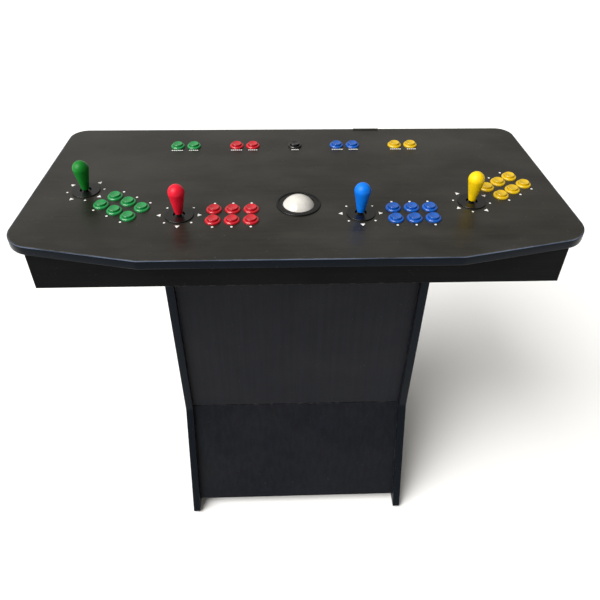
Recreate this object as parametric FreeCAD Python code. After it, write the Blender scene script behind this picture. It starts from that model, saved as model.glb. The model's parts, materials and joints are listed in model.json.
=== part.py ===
import FreeCAD, Part

import math
import os

# Four-player pedestal arcade control cabinet, in millimetres.
# X runs to the players' right, Y away from the players, Z up.
# The origin is on the floor, under the middle of the control panel.

# ---- control panel ----
panel_height = 950.0
panel_depth = 540.0
board = 19.0
knee_half = 310.0
front_corner_half = 579.0
rear_half = 546.0
wing_setback = 60.0
knee_radius = 40.0
front_radius = 62.0
rear_radius = 40.0
moulding = 2.5
tongue_depth = 9.5
tongue_height = 2.0
slot_play = 0.2

# ---- box under the panel ----
box_half = 532.0
box_front_y = -218.0
box_rear_y = 256.0
box_height = 104.0
end_board = 12.0
floor_board = 12.0

# ---- pedestal ----
pedestal_half = 299.0
upper_front_y = -114.0
crease_height = 326.0
foot_front_y = -230.0
pedestal_rear_y = 250.0
foot_clearance = 8.0
front_recess = 12.0
crease_radius = 40.0
crease_joint = 2.0
toe_gap = 26.0
toe_play = 1.0
back_board = 12.0
back_lift = 4.0
batten = 30.0
vent_width = 8.0
vent_height = 90.0
vent_pitch = 26.0
vent_count = 6
vent_drop = 150.0
cable_slot_width = 90.0
cable_slot_height = 34.0
cable_slot_z = 150.0

# ---- levelling feet ----
foot_radius = 19.0
foot_pad = 8.0
foot_chamfer = 1.5
foot_stem_radius = 4.0
foot_stem = 4.0
foot_inset = 42.0
foot_side_play = 1.0

# ---- push buttons ----
button_pitch = 38.4
row_gap = 39.7
button_hole = 14.3
flange_radius = 16.4
flange_height = 4.2
flange_roll = 3.0
barrel_radius = 13.9
barrel_bore = 11.5
barrel_depth = 28.0
barrel_floor = 4.0
bore_lip = 0.6
nut_radius = 18.0
nut_height = 8.0
nut_play = 0.1
plunger_radius = 11.2
plunger_top = 8.2
plunger_lip = 1.0
dish_inset = 1.6
dish_depth = 1.8
dish_fullness = 0.75
plunger_skirt = 8.0
stem_radius = 3.0
stem_bore = 3.3
stem_end = 32.0
switch_thickness = 10.3
switch_width = 27.8
switch_height = 15.9
switch_top = 36.0
leg_thickness = 2.4
leg_half = 7.0
leg_play = 0.1

# ---- joysticks ----
stick_offset = (-70.0, -18.0)
disc_radius = 30.0
disc_height = 2.6
disc_roll = 0.9
disc_hole = 12.3
stick_hole = 23.5
plate_hole = 12.6
pivot_depth = 30.0
handle_top = 70.5
handle_bottom = 5.4
handle_radius = 16.8
handle_crown = 35.0
handle_foot = 1.0
handle_socket = 34.0
neck_radius = 8.0
shaft_radius = 4.75
shaft_bottom = 56.0
actuator_radius = 9.0
actuator_height = 10.0
actuator_gap = 5.4
trunnion_radius = 3.0
trunnion_play = 0.5
dome_radius = 31.5
dome_thickness = 0.9
dome_spread = 34.0
collar_radius = 5.2
collar_foot = 1.2
cross_pin_radius = 2.5
pin_play = 0.05
cradle_half = (18.0, 12.5)
cradle_window = (12.0, 7.0)
cradle_height = 10.0
case_half = 32.0
case_wall = 4.0
case_depth = 62.0
plate_half = 48.0
plate_thickness = 3.0
stick_switch_half = 9.9
stick_switch_lift = 1.0

# ---- trackball ----
track_y = -78.0
ball_radius = 38.1
ball_drop = 20.0
ring_radius = 47.0
ring_height = 2.6
ring_roll = 1.6
ring_rim = 4.2
ring_slope = 0.8
ring_lip = 33.4
shelf_height = 0.8
shelf_underside = -1.0
skirt_inner = 39.6
skirt_outer = 42.0
track_hole = 42.5
tray_half = 62.0
tray_bottom = 68.0
tray_wall = 4.0
roller_radius = 5.0
roller_half = 20.0
roller_gap = 0.3
roller_angle = 40.0
journal_radius = 2.0
roller_tail = 36.0
roller_post = 26.0
post_thickness = 6.0
post_half = 6.0
encoder_radius = 11.0
encoder_thickness = 1.5
encoder_place = -34.0
encoder_slots = 12
encoder_slot_width = 1.2
encoder_slot_root = 6.5
rest_radius = 5.0
rest_play = 1.5
rest_drop = 1.0

# ---- interface circuit board ----
circuit_x = 150.0
circuit_y = 60.0
circuit_length = 160.0
circuit_width = 90.0
circuit_thickness = 1.6
circuit_post = 6.0
circuit_post_radius = 3.0
terminal_height = 11.0
terminal_width = 10.0
terminal_inset = 12.0
terminal_edge = 3.0
chip_x = 60.0
chip_y = 38.0
chip_length = 36.0
chip_width = 14.0
chip_height = 3.5
socket_overhang = 4.0
socket_length = 16.0
socket_width = 13.0
circuit_post_x = 5.0
circuit_post_y = 1.5

# Two points closer than this are the same, and a full round stops short of its edge by this much.
tiny = 0.01
# A cutter runs past what it cuts by this much, and a joined piece reaches this far into its neighbour.
over = 1.0

MIDDLE = FreeCAD.Vector(0, 0, 0)
UP = FreeCAD.Vector(0, 0, 1)

# Each player: name, centre of the first button in the far row, and how far the group is turned.
PLAYERS = [
    ("green", -387.0, -44.0, -35.5),
    ("red", -175.0, -98.0, 0.0),
    ("blue", 197.0, -98.0, 0.0),
    ("yellow", 414.0, -21.0, 35.5),
]
columns = 3
rows = 2

# Start and coin buttons stand in pairs along the back edge, with one black one in the middle.
admin_y = 180.5
pair_centres = {"green": -260.5, "red": -120.0, "blue": 120.0, "yellow": 260.5}


def vector(x, y, z):
    return FreeCAD.Vector(x, y, z)


def block(x0, x1, y0, y1, z0, z1):
    return Part.makeBox(x1 - x0, y1 - y0, z1 - z0, vector(x0, y0, z0))


def rod(radius, z0, z1, x=0.0, y=0.0):
    return Part.makeCylinder(radius, z1 - z0, vector(x, y, z0))


def rod_x(radius, x0, x1, y, z):
    return Part.makeCylinder(radius, x1 - x0, vector(x0, y, z), vector(1, 0, 0))


def rod_y(radius, y0, y1, x, z):
    return Part.makeCylinder(radius, y1 - y0, vector(x, y0, z), vector(0, 1, 0))


def tube(outer, inner, z0, z1):
    return rod(outer, z0, z1).cut(rod(inner, z0 - over, z1 + over))


def prism(outline, direction):
    wire = Part.makePolygon(outline + [outline[0]])
    return Part.Face(wire).extrude(direction)


def turned(edges):
    """Solid of revolution about Z from the edges of a closed half section in XZ."""
    wire = Part.Wire(Part.__sortEdges__(edges))
    return Part.Face(wire).revolve(MIDDLE, UP, 360)


def line(a, b):
    return Part.LineSegment(vector(a[0], 0, a[1]), vector(b[0], 0, b[1])).toShape()


def arc(a, middle, b):
    points = [vector(p[0], 0, p[1]) for p in (a, middle, b)]
    return Part.Arc(*points).toShape()


def path(points):
    return [line(a, b) for a, b in zip(points, points[1:])]


def stand(shape, x, y, degrees=0.0, z=panel_height):
    """Turn a shape made about the origin and set it down at a place on the panel."""
    copy = shape.copy()
    copy.rotate(MIDDLE, UP, degrees)
    copy.translate(vector(x, y, z))
    return copy


def save(node, shapes):
    shape = shapes[0] if len(shapes) == 1 else Part.makeCompound(shapes)
    if not shape.isValid():
        print("not valid:", node)
    shape.exportStep("parts/" + node + ".step")
    box = shape.BoundBox
    print(f"{node}: {len(shape.Solids)} solids, {shape.Volume / 1000:.1f} cm3,"
          f" z {box.ZMin:.1f} to {box.ZMax:.1f}")


# ---- where the controls stand ----

def local_to_panel(x, y, degrees, u, v):
    angle = math.radians(degrees)
    return (x + u * math.cos(angle) - v * math.sin(angle),
            y + u * math.sin(angle) + v * math.cos(angle))


def action_buttons():
    """Name, place and turn of each player's six buttons, numbered row by row from the far left."""
    found = []
    for colour, x, y, degrees in PLAYERS:
        for row in range(rows):
            for column in range(columns):
                u = column * button_pitch
                v = -row * row_gap
                number = row * columns + column + 1
                place = local_to_panel(x, y, degrees, u, v)
                found.append((f"{colour}_button_{number}", place[0], place[1], degrees))
    return found


def admin_buttons():
    found = []
    for colour, centre in pair_centres.items():
        found.append((f"{colour}_coin_button", centre - button_pitch / 2, admin_y, 0.0))
        found.append((f"{colour}_start_button", centre + button_pitch / 2, admin_y, 0.0))
    found.append(("black_menu_button", 0.0, admin_y, 0.0))
    return found


def joysticks():
    found = []
    for colour, x, y, degrees in PLAYERS:
        place = local_to_panel(x, y, degrees, *stick_offset)
        found.append((colour, place[0], place[1], degrees))
    return found


BUTTONS = action_buttons() + admin_buttons()
STICKS = joysticks()


# ---- control panel ----

def panel_slab(z0, z1, inset=0.0):
    """The panel's rounded outline, as a slab, drawn in from its edge by the inset."""
    front = -panel_depth / 2
    rear = panel_depth / 2
    wing = front + wing_setback
    corners = [
        (-knee_half, front, knee_radius),
        (knee_half, front, knee_radius),
        (front_corner_half, wing, front_radius),
        (rear_half, rear, rear_radius),
        (-rear_half, rear, rear_radius),
        (-front_corner_half, wing, front_radius),
    ]
    slab = prism([vector(x, y, 0) for x, y, radius in corners], vector(0, 0, z1 - z0))
    for x, y, radius in corners:
        edge = [e for e in slab.Edges
                if all(math.hypot(v.X - x, v.Y - y) < tiny for v in e.Vertexes)]
        slab = slab.makeFillet(radius, edge)
    if inset:
        lower = [f for f in slab.Faces if abs(f.BoundBox.ZMax) < tiny][0]
        smaller = Part.Face(lower.OuterWire.makeOffset2D(-inset))
        slab = smaller.extrude(vector(0, 0, z1 - z0))
    slab.translate(vector(0, 0, z0))
    return slab


def edge_moulding():
    """T-section plastic strip: a band round the board with a tongue in the board's slot."""
    low = panel_height - board
    middle = panel_height - board / 2
    band = panel_slab(low, panel_height).cut(panel_slab(low - over, panel_height + over, moulding))
    z0 = middle - tongue_height / 2
    z1 = middle + tongue_height / 2
    tongue = panel_slab(z0, z1, moulding).cut(panel_slab(z0 - over, z1 + over, moulding + tongue_depth))
    return band.fuse(tongue).removeSplitter()


def control_top():
    low = panel_height - board
    middle = panel_height - board / 2
    top = panel_slab(low, panel_height, moulding)
    z0 = middle - tongue_height / 2 - slot_play / 2
    z1 = middle + tongue_height / 2 + slot_play / 2
    groove = panel_slab(z0, z1).cut(panel_slab(z0 - over, z1 + over, moulding + tongue_depth + slot_play))
    holes = [rod(button_hole, low - over, panel_height + over, x, y) for name, x, y, degrees in BUTTONS]
    holes += [rod(stick_hole, low - over, panel_height + over, x, y) for name, x, y, degrees in STICKS]
    holes.append(rod(track_hole, low - over, panel_height + over, 0, track_y))
    return top.cut(groove).cut(holes)


def box_walls():
    z0 = panel_height - box_height
    z1 = panel_height - board
    front = block(-box_half, box_half, box_front_y, box_front_y + board, z0, z1)
    rear = block(-box_half, box_half, box_rear_y - board, box_rear_y, z0, z1)
    inner_front = box_front_y + board
    inner_rear = box_rear_y - board
    left = block(-box_half, -box_half + end_board, inner_front, inner_rear, z0, z1)
    right = block(box_half - end_board, box_half, inner_front, inner_rear, z0, z1)
    return [front, rear, left, right]


def box_bottom():
    z0 = panel_height - box_height
    half = box_half - end_board
    return block(-half, half, box_front_y + board, box_rear_y - board, z0, z0 + floor_board)


# ---- pedestal ----

pedestal_top = panel_height - box_height
inner_half = pedestal_half - board
slope = math.atan2(upper_front_y - foot_front_y, crease_height)


def pedestal_side(x0):
    """Side panel: upright above the crease, with a foot that runs forward to the floor."""
    outline = [
        (upper_front_y, pedestal_top),
        (upper_front_y, crease_height),
        (foot_front_y, foot_clearance),
        (pedestal_rear_y, foot_clearance),
        (pedestal_rear_y, pedestal_top),
    ]
    side = prism([vector(x0, y, z) for y, z in outline], vector(board, 0, 0))
    crease = [e for e in side.Edges
              if all(math.hypot(v.Y - upper_front_y, v.Z - crease_height) < tiny
                     for v in e.Vertexes)]
    return side.makeFillet(crease_radius, crease)


def upper_front_panel():
    y0 = upper_front_y + front_recess
    return block(-inner_half, inner_half, y0, y0 + board, crease_height + crease_joint, pedestal_top)


def lower_front_panel():
    """Kick panel between the side panels, leaning with their sloping front edges."""
    y_crease = upper_front_y + front_recess
    run = math.tan(slope)
    low = foot_clearance + toe_gap
    y_low = y_crease - (crease_height - low) * run
    back = board / math.cos(slope)
    outline = [
        (y_crease, crease_height),
        (y_low, low),
        (y_low + back, low),
        (y_crease + back, crease_height),
    ]
    points = [vector(-inner_half, y, z) for y, z in outline]
    return prism(points, vector(2 * inner_half, 0, 0))


def back_panel():
    """Removable back with a row of vent slots and a slot that cables leave by."""
    y0 = pedestal_rear_y - back_board
    y1 = pedestal_rear_y
    panel = block(-inner_half, inner_half, y0, y1, foot_clearance + back_lift, pedestal_top)
    cuts = []
    for index in range(vent_count):
        x = (index - (vent_count - 1) / 2) * vent_pitch
        cuts.append(stadium(x, vent_width, pedestal_top - vent_drop, vent_height, y0, y1))
    cuts.append(stadium(0, cable_slot_width, cable_slot_z, cable_slot_height, y0, y1))
    return panel.cut(cuts)


def stadium(x, width, z, height, y0, y1):
    """Round-ended cutter through a wall that lies across Y, centred at x and z."""
    slot = block(x - width / 2, x + width / 2, y0 - over, y1 + over, z - height / 2, z + height / 2)
    corners = [e for e in slot.Edges if abs(e.tangentAt(e.FirstParameter).y) > 0.99]
    return slot.makeFillet(min(width, height) / 2 - tiny, corners)


def kick_back_y(z):
    """Where the rear face of the leaning kick panel stands at a height."""
    y_crease = upper_front_y + front_recess + board / math.cos(slope)
    return y_crease - (crease_height - z) * math.tan(slope)


def inner_frame():
    """Base board and the battens that hold the panels together, hidden inside the pedestal."""
    front = upper_front_y + front_recess + board
    rear = pedestal_rear_y - back_board
    batten_z = foot_pad + foot_stem
    base_z = batten_z + batten
    upright_z = base_z + board
    toe = kick_back_y(upright_z) + toe_play
    parts = [block(-inner_half, inner_half, toe, rear, base_z, upright_z)]
    rail_z = pedestal_top - batten
    for side in (-1, 1):
        x0 = inner_half - batten if side > 0 else -inner_half
        x1 = x0 + batten
        foot_batten = block(x0, x1, toe, rear, batten_z, base_z)
        rear_post = block(x0, x1, rear - batten, rear, upright_z, rail_z)
        front_post = block(x0, x1, front, front + batten, crease_height + crease_joint, rail_z)
        rail = block(x0, x1, front, rear, rail_z, pedestal_top)
        parts += [foot_batten, rear_post, front_post, rail]
    return parts


def levelling_feet():
    """Four round pads, each with a short stem up to the batten it screws into."""
    pad = rod(foot_radius, 0, foot_pad)
    rim = [e for e in pad.Edges if len(e.Vertexes) == 1 and abs(e.BoundBox.ZMax) < tiny]
    pad = pad.makeChamfer(foot_chamfer, rim)
    foot = pad.fuse(rod(foot_stem_radius, foot_pad, foot_pad + foot_stem))
    x = inner_half - foot_radius - foot_side_play
    y_front = kick_back_y(foot_pad + foot_stem) + foot_inset
    y_rear = pedestal_rear_y - back_board - foot_inset
    return [stand(foot, side * x, y, z=0.0) for side in (-1, 1) for y in (y_front, y_rear)]


# ---- push buttons ----

def quarter_round(a, b, centre):
    """Arc from a to b of a half section, about a centre, by its middle point."""
    radius = math.hypot(a[0] - centre[0], a[1] - centre[1])
    u = (a[0] + b[0]) / 2 - centre[0]
    v = (a[1] + b[1]) / 2 - centre[1]
    stretch = radius / math.hypot(u, v)
    return arc(a, (centre[0] + u * stretch, centre[1] + v * stretch), b)


def button_housing():
    """Flange and threaded barrel of one push button, with legs that hold its switch."""
    lip = (barrel_bore + bore_lip, flange_height - bore_lip)
    roll = (flange_radius - flange_roll, flange_height - flange_roll)
    seat = barrel_floor - barrel_depth
    section = [
        line((barrel_bore, seat), (barrel_bore, lip[1])),
        quarter_round((barrel_bore, lip[1]), (lip[0], flange_height), lip),
        line((lip[0], flange_height), (roll[0], flange_height)),
        quarter_round((roll[0], flange_height), (flange_radius, roll[1]), roll),
    ]
    section += path([
        (flange_radius, roll[1]), (flange_radius, 0), (barrel_radius, 0),
        (barrel_radius, -barrel_depth), (stem_bore, -barrel_depth),
        (stem_bore, seat), (barrel_bore, seat),
    ])
    body = turned(section)
    bottom = -switch_top - switch_height
    near = switch_thickness / 2 + leg_play
    for x0 in (near, -near - leg_thickness):
        body = body.fuse(block(x0, x0 + leg_thickness, -leg_half, leg_half, bottom, -barrel_depth))
    return body


def button_nut():
    low = -board - nut_height
    corners = []
    for k in range(6):
        angle = k * math.pi / 3
        corners.append(vector(nut_radius * math.cos(angle), nut_radius * math.sin(angle), low))
    nut = prism(corners, vector(0, 0, nut_height))
    return nut.cut(rod(barrel_radius + nut_play, low - over, -board + over))


def button_plunger():
    """Moving cap with a shallow dish, and the stem that reaches down to the switch."""
    rim = plunger_top
    dish_radius = plunger_radius - dish_inset
    lip = (plunger_radius - plunger_lip, rim - plunger_lip)
    section = [
        arc((0, rim - dish_depth), (dish_radius / 2, rim - dish_depth * dish_fullness),
            (dish_radius, rim)),
        line((dish_radius, rim), (lip[0], rim)),
        quarter_round((lip[0], rim), (plunger_radius, lip[1]), lip),
    ]
    section += path([
        (plunger_radius, lip[1]), (plunger_radius, -plunger_skirt),
        (stem_radius, -plunger_skirt), (stem_radius, -stem_end), (0, -stem_end),
        (0, rim - dish_depth),
    ])
    return turned(section)


def button_switch():
    return block(-switch_thickness / 2, switch_thickness / 2, -switch_width / 2, switch_width / 2,
                 -switch_top - switch_height, -switch_top)


# ---- joysticks ----

def stick_mount():
    """Disc on the panel, and the plate and case that carry the stick under it."""
    disc = tube(disc_radius, disc_hole, 0, disc_height)
    edges = [e for e in disc.Edges if len(e.Vertexes) == 1 and e.BoundBox.ZMin > disc_height - tiny]
    disc = disc.makeFillet(disc_roll, [e for e in edges if e.BoundBox.XLength > disc_radius])
    top = -board
    plate = block(-plate_half, plate_half, -case_half, case_half, top - plate_thickness, top)
    plate = plate.cut(rod(plate_hole, top - plate_thickness - over, top + over))
    z0 = -case_depth
    z1 = top - plate_thickness
    inner = case_half - case_wall
    case = block(-case_half, case_half, -case_half, case_half, z0, z1)
    case = case.cut(block(-inner, inner, -inner, inner, z0 - over, z1 + over))
    case = case.cut(rod_x(trunnion_radius + pin_play, -case_half - over, case_half + over, 0, -pivot_depth))
    return [disc, plate, case]


def stick_cradle():
    """Tilting frame of the joystick: it turns in the case, and the stick turns in it."""
    half_u, half_v = cradle_half
    window_u, window_v = cradle_window
    z0 = -pivot_depth - cradle_height / 2
    z1 = -pivot_depth + cradle_height / 2
    frame = block(-half_u, half_u, -half_v, half_v, z0, z1)
    frame = frame.cut(block(-window_u, window_u, -window_v, window_v, z0 - over, z1 + over))
    reach = case_half - trunnion_play
    frame = frame.fuse(rod_x(trunnion_radius, half_u - over, reach, 0, -pivot_depth))
    frame = frame.fuse(rod_x(trunnion_radius, -reach, -half_u + over, 0, -pivot_depth))
    bore = cross_pin_radius + pin_play
    return frame.cut(rod_y(bore, -half_v - over, half_v + over, 0, -pivot_depth))


def stick_handle():
    """Bat-shaped grip: a round head, a straight taper tangent to it and a rounded foot."""
    centre = handle_top - handle_radius
    foot = handle_bottom + handle_foot
    drop = centre - foot
    reach = math.hypot(drop, neck_radius)
    lean_in = math.acos(handle_radius / reach) - math.atan2(drop, neck_radius)
    touch = (handle_radius * math.cos(lean_in), centre + handle_radius * math.sin(lean_in))
    quarter = math.radians(handle_crown)
    crown = (handle_radius * math.cos(quarter), centre + handle_radius * math.sin(quarter))
    neck = (neck_radius, foot)
    section = [arc(touch, crown, (0, handle_top)), line(neck, touch)]
    inner = neck_radius - handle_foot
    section.append(quarter_round((inner, handle_bottom), neck, (inner, foot)))
    socket_top = handle_bottom + handle_socket
    section += path([
        (inner, handle_bottom), (shaft_radius, handle_bottom),
        (shaft_radius, socket_top), (0, socket_top), (0, handle_top),
    ])
    return turned(section)


def stick_shaft():
    shaft = rod(shaft_radius, -shaft_bottom, handle_bottom + handle_socket)
    pin = rod_y(cross_pin_radius, -cradle_half[1], cradle_half[1], 0, -pivot_depth)
    actuator = rod(actuator_radius, -shaft_bottom, -shaft_bottom + actuator_height)
    return shaft.fuse([pin, actuator]).removeSplitter()


def dust_dome():
    """Thin cap on the shaft, round the pivot, that keeps the disc's hole closed at any tilt."""
    outer = dome_radius
    inner = dome_radius - dome_thickness
    spread = math.radians(dome_spread)

    def on_sphere(radius, x):
        return (x, math.sqrt(radius * radius - x * x) - pivot_depth)

    def at_angle(radius, angle):
        return (radius * math.sin(angle), radius * math.cos(angle) - pivot_depth)

    top = on_sphere(outer, shaft_radius)
    under = on_sphere(inner, shaft_radius)
    section = [
        arc(top, at_angle(outer, spread / 2), at_angle(outer, spread)),
        line(at_angle(outer, spread), at_angle(inner, spread)),
        arc(at_angle(inner, spread), at_angle(inner, spread / 2), under),
        line(under, top),
    ]
    return turned(section)


def stick_collar():
    """Sleeve on the shaft between the dome and the grip, slim enough to clear the disc's hole."""
    return tube(collar_radius, shaft_radius, collar_foot, handle_bottom)


def stick_switches():
    """Four switches round the foot of the stick, one on each side of its actuator."""
    near = actuator_radius + actuator_gap
    low = -case_depth + stick_switch_lift
    one = block(near, near + switch_thickness, -stick_switch_half, stick_switch_half,
                low, low + switch_height)
    return [stand(one, 0, 0, quarter * 90, 0) for quarter in range(4)]


# ---- trackball ----

ball_z = panel_height - ball_drop
roller_reach = ball_radius + roller_radius + roller_gap
roller_out = roller_reach * math.cos(math.radians(roller_angle))
roller_down = roller_reach * math.sin(math.radians(roller_angle))


def trackball_ball():
    return Part.makeSphere(ball_radius, vector(0, track_y, ball_z), vector(1, 0, 0))


def trackball_ring():
    """Trim ring: a raised rim, a sunk shelf that reaches to the ball, and a skirt through the board."""
    roll = (ring_radius - ring_roll, ring_height - ring_roll)
    rim_inner = ring_radius - ring_rim
    section = [quarter_round((roll[0], ring_height), (ring_radius, roll[1]), roll)]
    section += path([
        (ring_radius, roll[1]), (ring_radius, 0), (skirt_outer, 0),
        (skirt_outer, -board), (skirt_inner, -board), (skirt_inner, shelf_underside),
        (ring_lip + ring_slope, shelf_underside), (ring_lip, shelf_height),
        (rim_inner - ring_slope, shelf_height), (rim_inner, ring_height), (roll[0], ring_height),
    ])
    return stand(turned(section), 0, track_y)


def roller(z):
    """Shaft that the ball turns, with its slotted disc, along X through the origin."""
    wheel = rod_x(roller_radius, -roller_half, roller_half, 0, z)
    shaft = rod_x(journal_radius, -roller_tail, roller_post + post_thickness / 2, 0, z)
    disc = rod_x(encoder_radius, encoder_place, encoder_place + encoder_thickness, 0, z)
    half = encoder_slot_width / 2
    slots = []
    for k in range(encoder_slots):
        slot = block(encoder_place - over, encoder_place + encoder_thickness + over, -half, half,
                     z + encoder_slot_root, z + encoder_radius + over)
        slot.rotate(vector(0, 0, z), vector(1, 0, 0), k * 360 / encoder_slots)
        slots.append(slot)
    return wheel.fuse([shaft, disc.cut(slots)]).removeSplitter()


def forward_roller():
    return stand(roller(-roller_down), 0, track_y + roller_out, z=ball_z)


def sideways_roller():
    turned_roller = roller(-roller_down)
    turned_roller.rotate(MIDDLE, UP, 90)
    return stand(turned_roller, roller_out, track_y, z=ball_z)


def trackball_housing():
    """Open tray under the board with posts for both rollers and a third rest for the ball."""
    inner = tray_half - tray_wall
    floor = tray_wall - tray_bottom
    tray = block(-tray_half, tray_half, -tray_half, tray_half, -tray_bottom, -board)
    tray = tray.cut(block(-inner, inner, -inner, inner, floor, -board + over))
    z = -ball_drop - roller_down
    near = roller_out - post_half
    far = roller_out + post_half
    t = post_thickness / 2
    posts = []
    for along in (-roller_post, roller_post):
        posts.append(block(along - t, along + t, near, far, floor - over, z + post_half))
        posts.append(block(near, far, along - t, along + t, floor - over, z + post_half))
    rest_out = roller_out * math.sqrt(0.5) + rest_play
    posts.append(rod(rest_radius, floor - over, z - rest_drop, -rest_out, -rest_out))
    tray = tray.fuse(posts)
    bore = journal_radius + pin_play
    reach = roller_post + post_thickness
    tray = tray.cut(rod_x(bore, -reach, reach, roller_out, z))
    tray = tray.cut(rod_y(bore, -reach, reach, roller_out, z))
    return stand(tray, 0, track_y)


def encoder_board():
    """Circuit board that reads the controls, with its terminal strips and one chip."""
    z0 = panel_height - box_height + floor_board + circuit_post
    top = z0 + circuit_thickness
    x0 = circuit_x
    x1 = circuit_x + circuit_length
    y0 = circuit_y
    y1 = circuit_y + circuit_width
    parts = [block(x0, x1, y0, y1, z0, top)]
    strip_front = y0 + terminal_edge
    strip_rear = y1 - terminal_edge - terminal_width
    for y in (strip_front, strip_rear):
        parts.append(block(x0 + terminal_inset, x1 - terminal_inset, y, y + terminal_width,
                           top, top + terminal_height))
    near = y0 + chip_y
    parts.append(block(x0 + chip_x, x0 + chip_x + chip_length, near, near + chip_width,
                       top, top + chip_height))
    socket_x = x0 - socket_overhang
    parts.append(block(socket_x, socket_x + socket_length, near, near + socket_width,
                       top, top + terminal_height))
    for x in (x0 + circuit_post_x, x1 - circuit_post_x):
        for y in (y0 + circuit_post_y, y1 - circuit_post_y):
            parts.append(rod(circuit_post_radius, z0 - circuit_post, z0, x, y))
    return parts


os.makedirs("parts", exist_ok=True)

save("control_top", [control_top()])
save("top_edge_moulding", [edge_moulding()])
save("box_walls", box_walls())
save("box_bottom", [box_bottom()])
save("pedestal_sides", [pedestal_side(-pedestal_half), pedestal_side(inner_half)])
save("upper_front_panel", [upper_front_panel()])
save("lower_front_panel", [lower_front_panel()])
save("back_panel", [back_panel()])
save("inner_frame", inner_frame())
save("levelling_feet", levelling_feet())

button_bodies = []
switches = []
for name, x, y, degrees in BUTTONS:
    button_bodies.append(stand(button_housing(), x, y, degrees))
    button_bodies.append(stand(button_nut(), x, y, degrees))
    switches.append(stand(button_switch(), x, y, degrees))
    save(name, [stand(button_plunger(), x, y, degrees)])
    print("button", name, round(x, 3), round(y, 3), degrees)
save("button_housings", button_bodies)

mounts = []
for colour, x, y, degrees in STICKS:
    mounts += [stand(piece, x, y, degrees) for piece in stick_mount()]
    switches += [stand(piece, x, y, degrees) for piece in stick_switches()]
    save(colour + "_stick_cradle", [stand(stick_cradle(), x, y, degrees)])
    pieces = [stick_handle(), stick_shaft(), dust_dome(), stick_collar()]
    save(colour + "_joystick", [stand(piece, x, y, degrees) for piece in pieces])
    print("stick", colour, round(x, 3), round(y, 3), degrees)
save("joystick_mounts", mounts)
save("microswitches", switches)

save("trackball_ball", [trackball_ball()])
save("trackball_ring", [trackball_ring()])
save("trackball_housing", [trackball_housing()])
save("trackball_forward_roller", [forward_roller()])
save("trackball_sideways_roller", [sideways_roller()])
save("encoder_board", encoder_board())
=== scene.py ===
# %% [markdown]
# # A pedestal control cabinet
# The object is a four-player arcade control panel on a stand. Its boards, joysticks, buttons and trackball
# come from the CAD model. This lesson gives each of them a finish and adds the small pieces that a CAD
# model leaves out, such as the vinyl edging, the printed marks and the screws.

import math

import bmesh
import bpy
from mathutils import Matrix, Vector
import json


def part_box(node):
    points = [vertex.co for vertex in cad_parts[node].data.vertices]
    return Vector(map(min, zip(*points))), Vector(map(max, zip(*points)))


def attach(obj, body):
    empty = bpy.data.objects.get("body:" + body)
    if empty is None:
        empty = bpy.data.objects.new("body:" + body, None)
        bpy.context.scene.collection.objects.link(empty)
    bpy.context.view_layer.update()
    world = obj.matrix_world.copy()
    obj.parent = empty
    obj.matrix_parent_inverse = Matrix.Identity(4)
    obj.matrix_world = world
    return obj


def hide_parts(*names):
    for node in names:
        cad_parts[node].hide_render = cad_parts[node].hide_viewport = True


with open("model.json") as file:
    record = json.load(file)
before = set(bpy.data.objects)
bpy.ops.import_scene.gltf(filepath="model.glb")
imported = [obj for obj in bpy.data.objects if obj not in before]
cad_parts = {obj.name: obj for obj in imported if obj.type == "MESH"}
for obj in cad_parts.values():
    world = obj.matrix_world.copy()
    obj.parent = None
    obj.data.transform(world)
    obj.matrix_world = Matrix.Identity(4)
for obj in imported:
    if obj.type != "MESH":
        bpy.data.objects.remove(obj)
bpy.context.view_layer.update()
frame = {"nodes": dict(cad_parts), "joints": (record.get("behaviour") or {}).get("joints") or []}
nodes = frame["nodes"]
MM = 0.001

# %% [markdown]
# ## The camera
# A person stands in front of the panel and a little to its left, and holds the camera at eye height,
# tipped well down. The lens is close to a phone's main lens. The three turns are kept apart, so that
# each can be read: turn to the right, tip down, and a slight roll of the hand.

# %% Camera
camera_place = Vector((-0.0454, -1.1898, 1.6568))
turn_right = math.radians(2.66)
tip_down = math.radians(41.23)
hand_roll = math.radians(0.88)
lens_mm = 37.22

camera_data = bpy.data.cameras.new("camera")
camera_data.lens = lens_mm
camera_data.sensor_width = 36.0
camera = bpy.data.objects.new("camera", camera_data)
bpy.context.scene.collection.objects.link(camera)
aim = (Matrix.Rotation(-turn_right, 4, "Z")
       @ Matrix.Rotation(math.pi / 2 - tip_down, 4, "X")
       @ Matrix.Rotation(hand_roll, 4, "Z"))
camera.matrix_world = Matrix.Translation(camera_place) @ aim
bpy.context.scene.camera = camera
print("camera", lens_mm, "mm, tipped down", round(math.degrees(tip_down), 1), "degrees")

# %% [markdown]
# ## A studio
# Black laminate shows almost nothing of its own colour, so what it looks like is what it reflects. A very
# broad soft sun stands on the left, a little in front, and models the handles. The sky is graded: brighter
# behind and to the left, where the top mirrors it, and dim in front. The plain transform keeps strong
# plastic colours strong, where a filmic one would turn them pale. The floor is plain and pale.

# %% Floor
bpy.context.scene.view_settings.view_transform = "Standard"

floor_bm = bmesh.new()
bmesh.ops.create_grid(floor_bm, x_segments=1, y_segments=1, size=12.0)
floor_mesh = bpy.data.meshes.new("studio_floor")
floor_bm.to_mesh(floor_mesh)
floor_bm.free()
floor = bpy.data.objects.new("studio_floor", floor_mesh)
bpy.context.scene.collection.objects.link(floor)

floor_material = bpy.data.materials.new("studio_floor")
floor_material.use_nodes = True
floor_shader = floor_material.node_tree.nodes["Principled BSDF"]
floor_shader.inputs["Base Color"].default_value = (0.86, 0.86, 0.86, 1.0)
floor_shader.inputs["Roughness"].default_value = 0.9
floor_shader.inputs["Specular IOR Level"].default_value = 0.1
floor_mesh.materials.append(floor_material)

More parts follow.
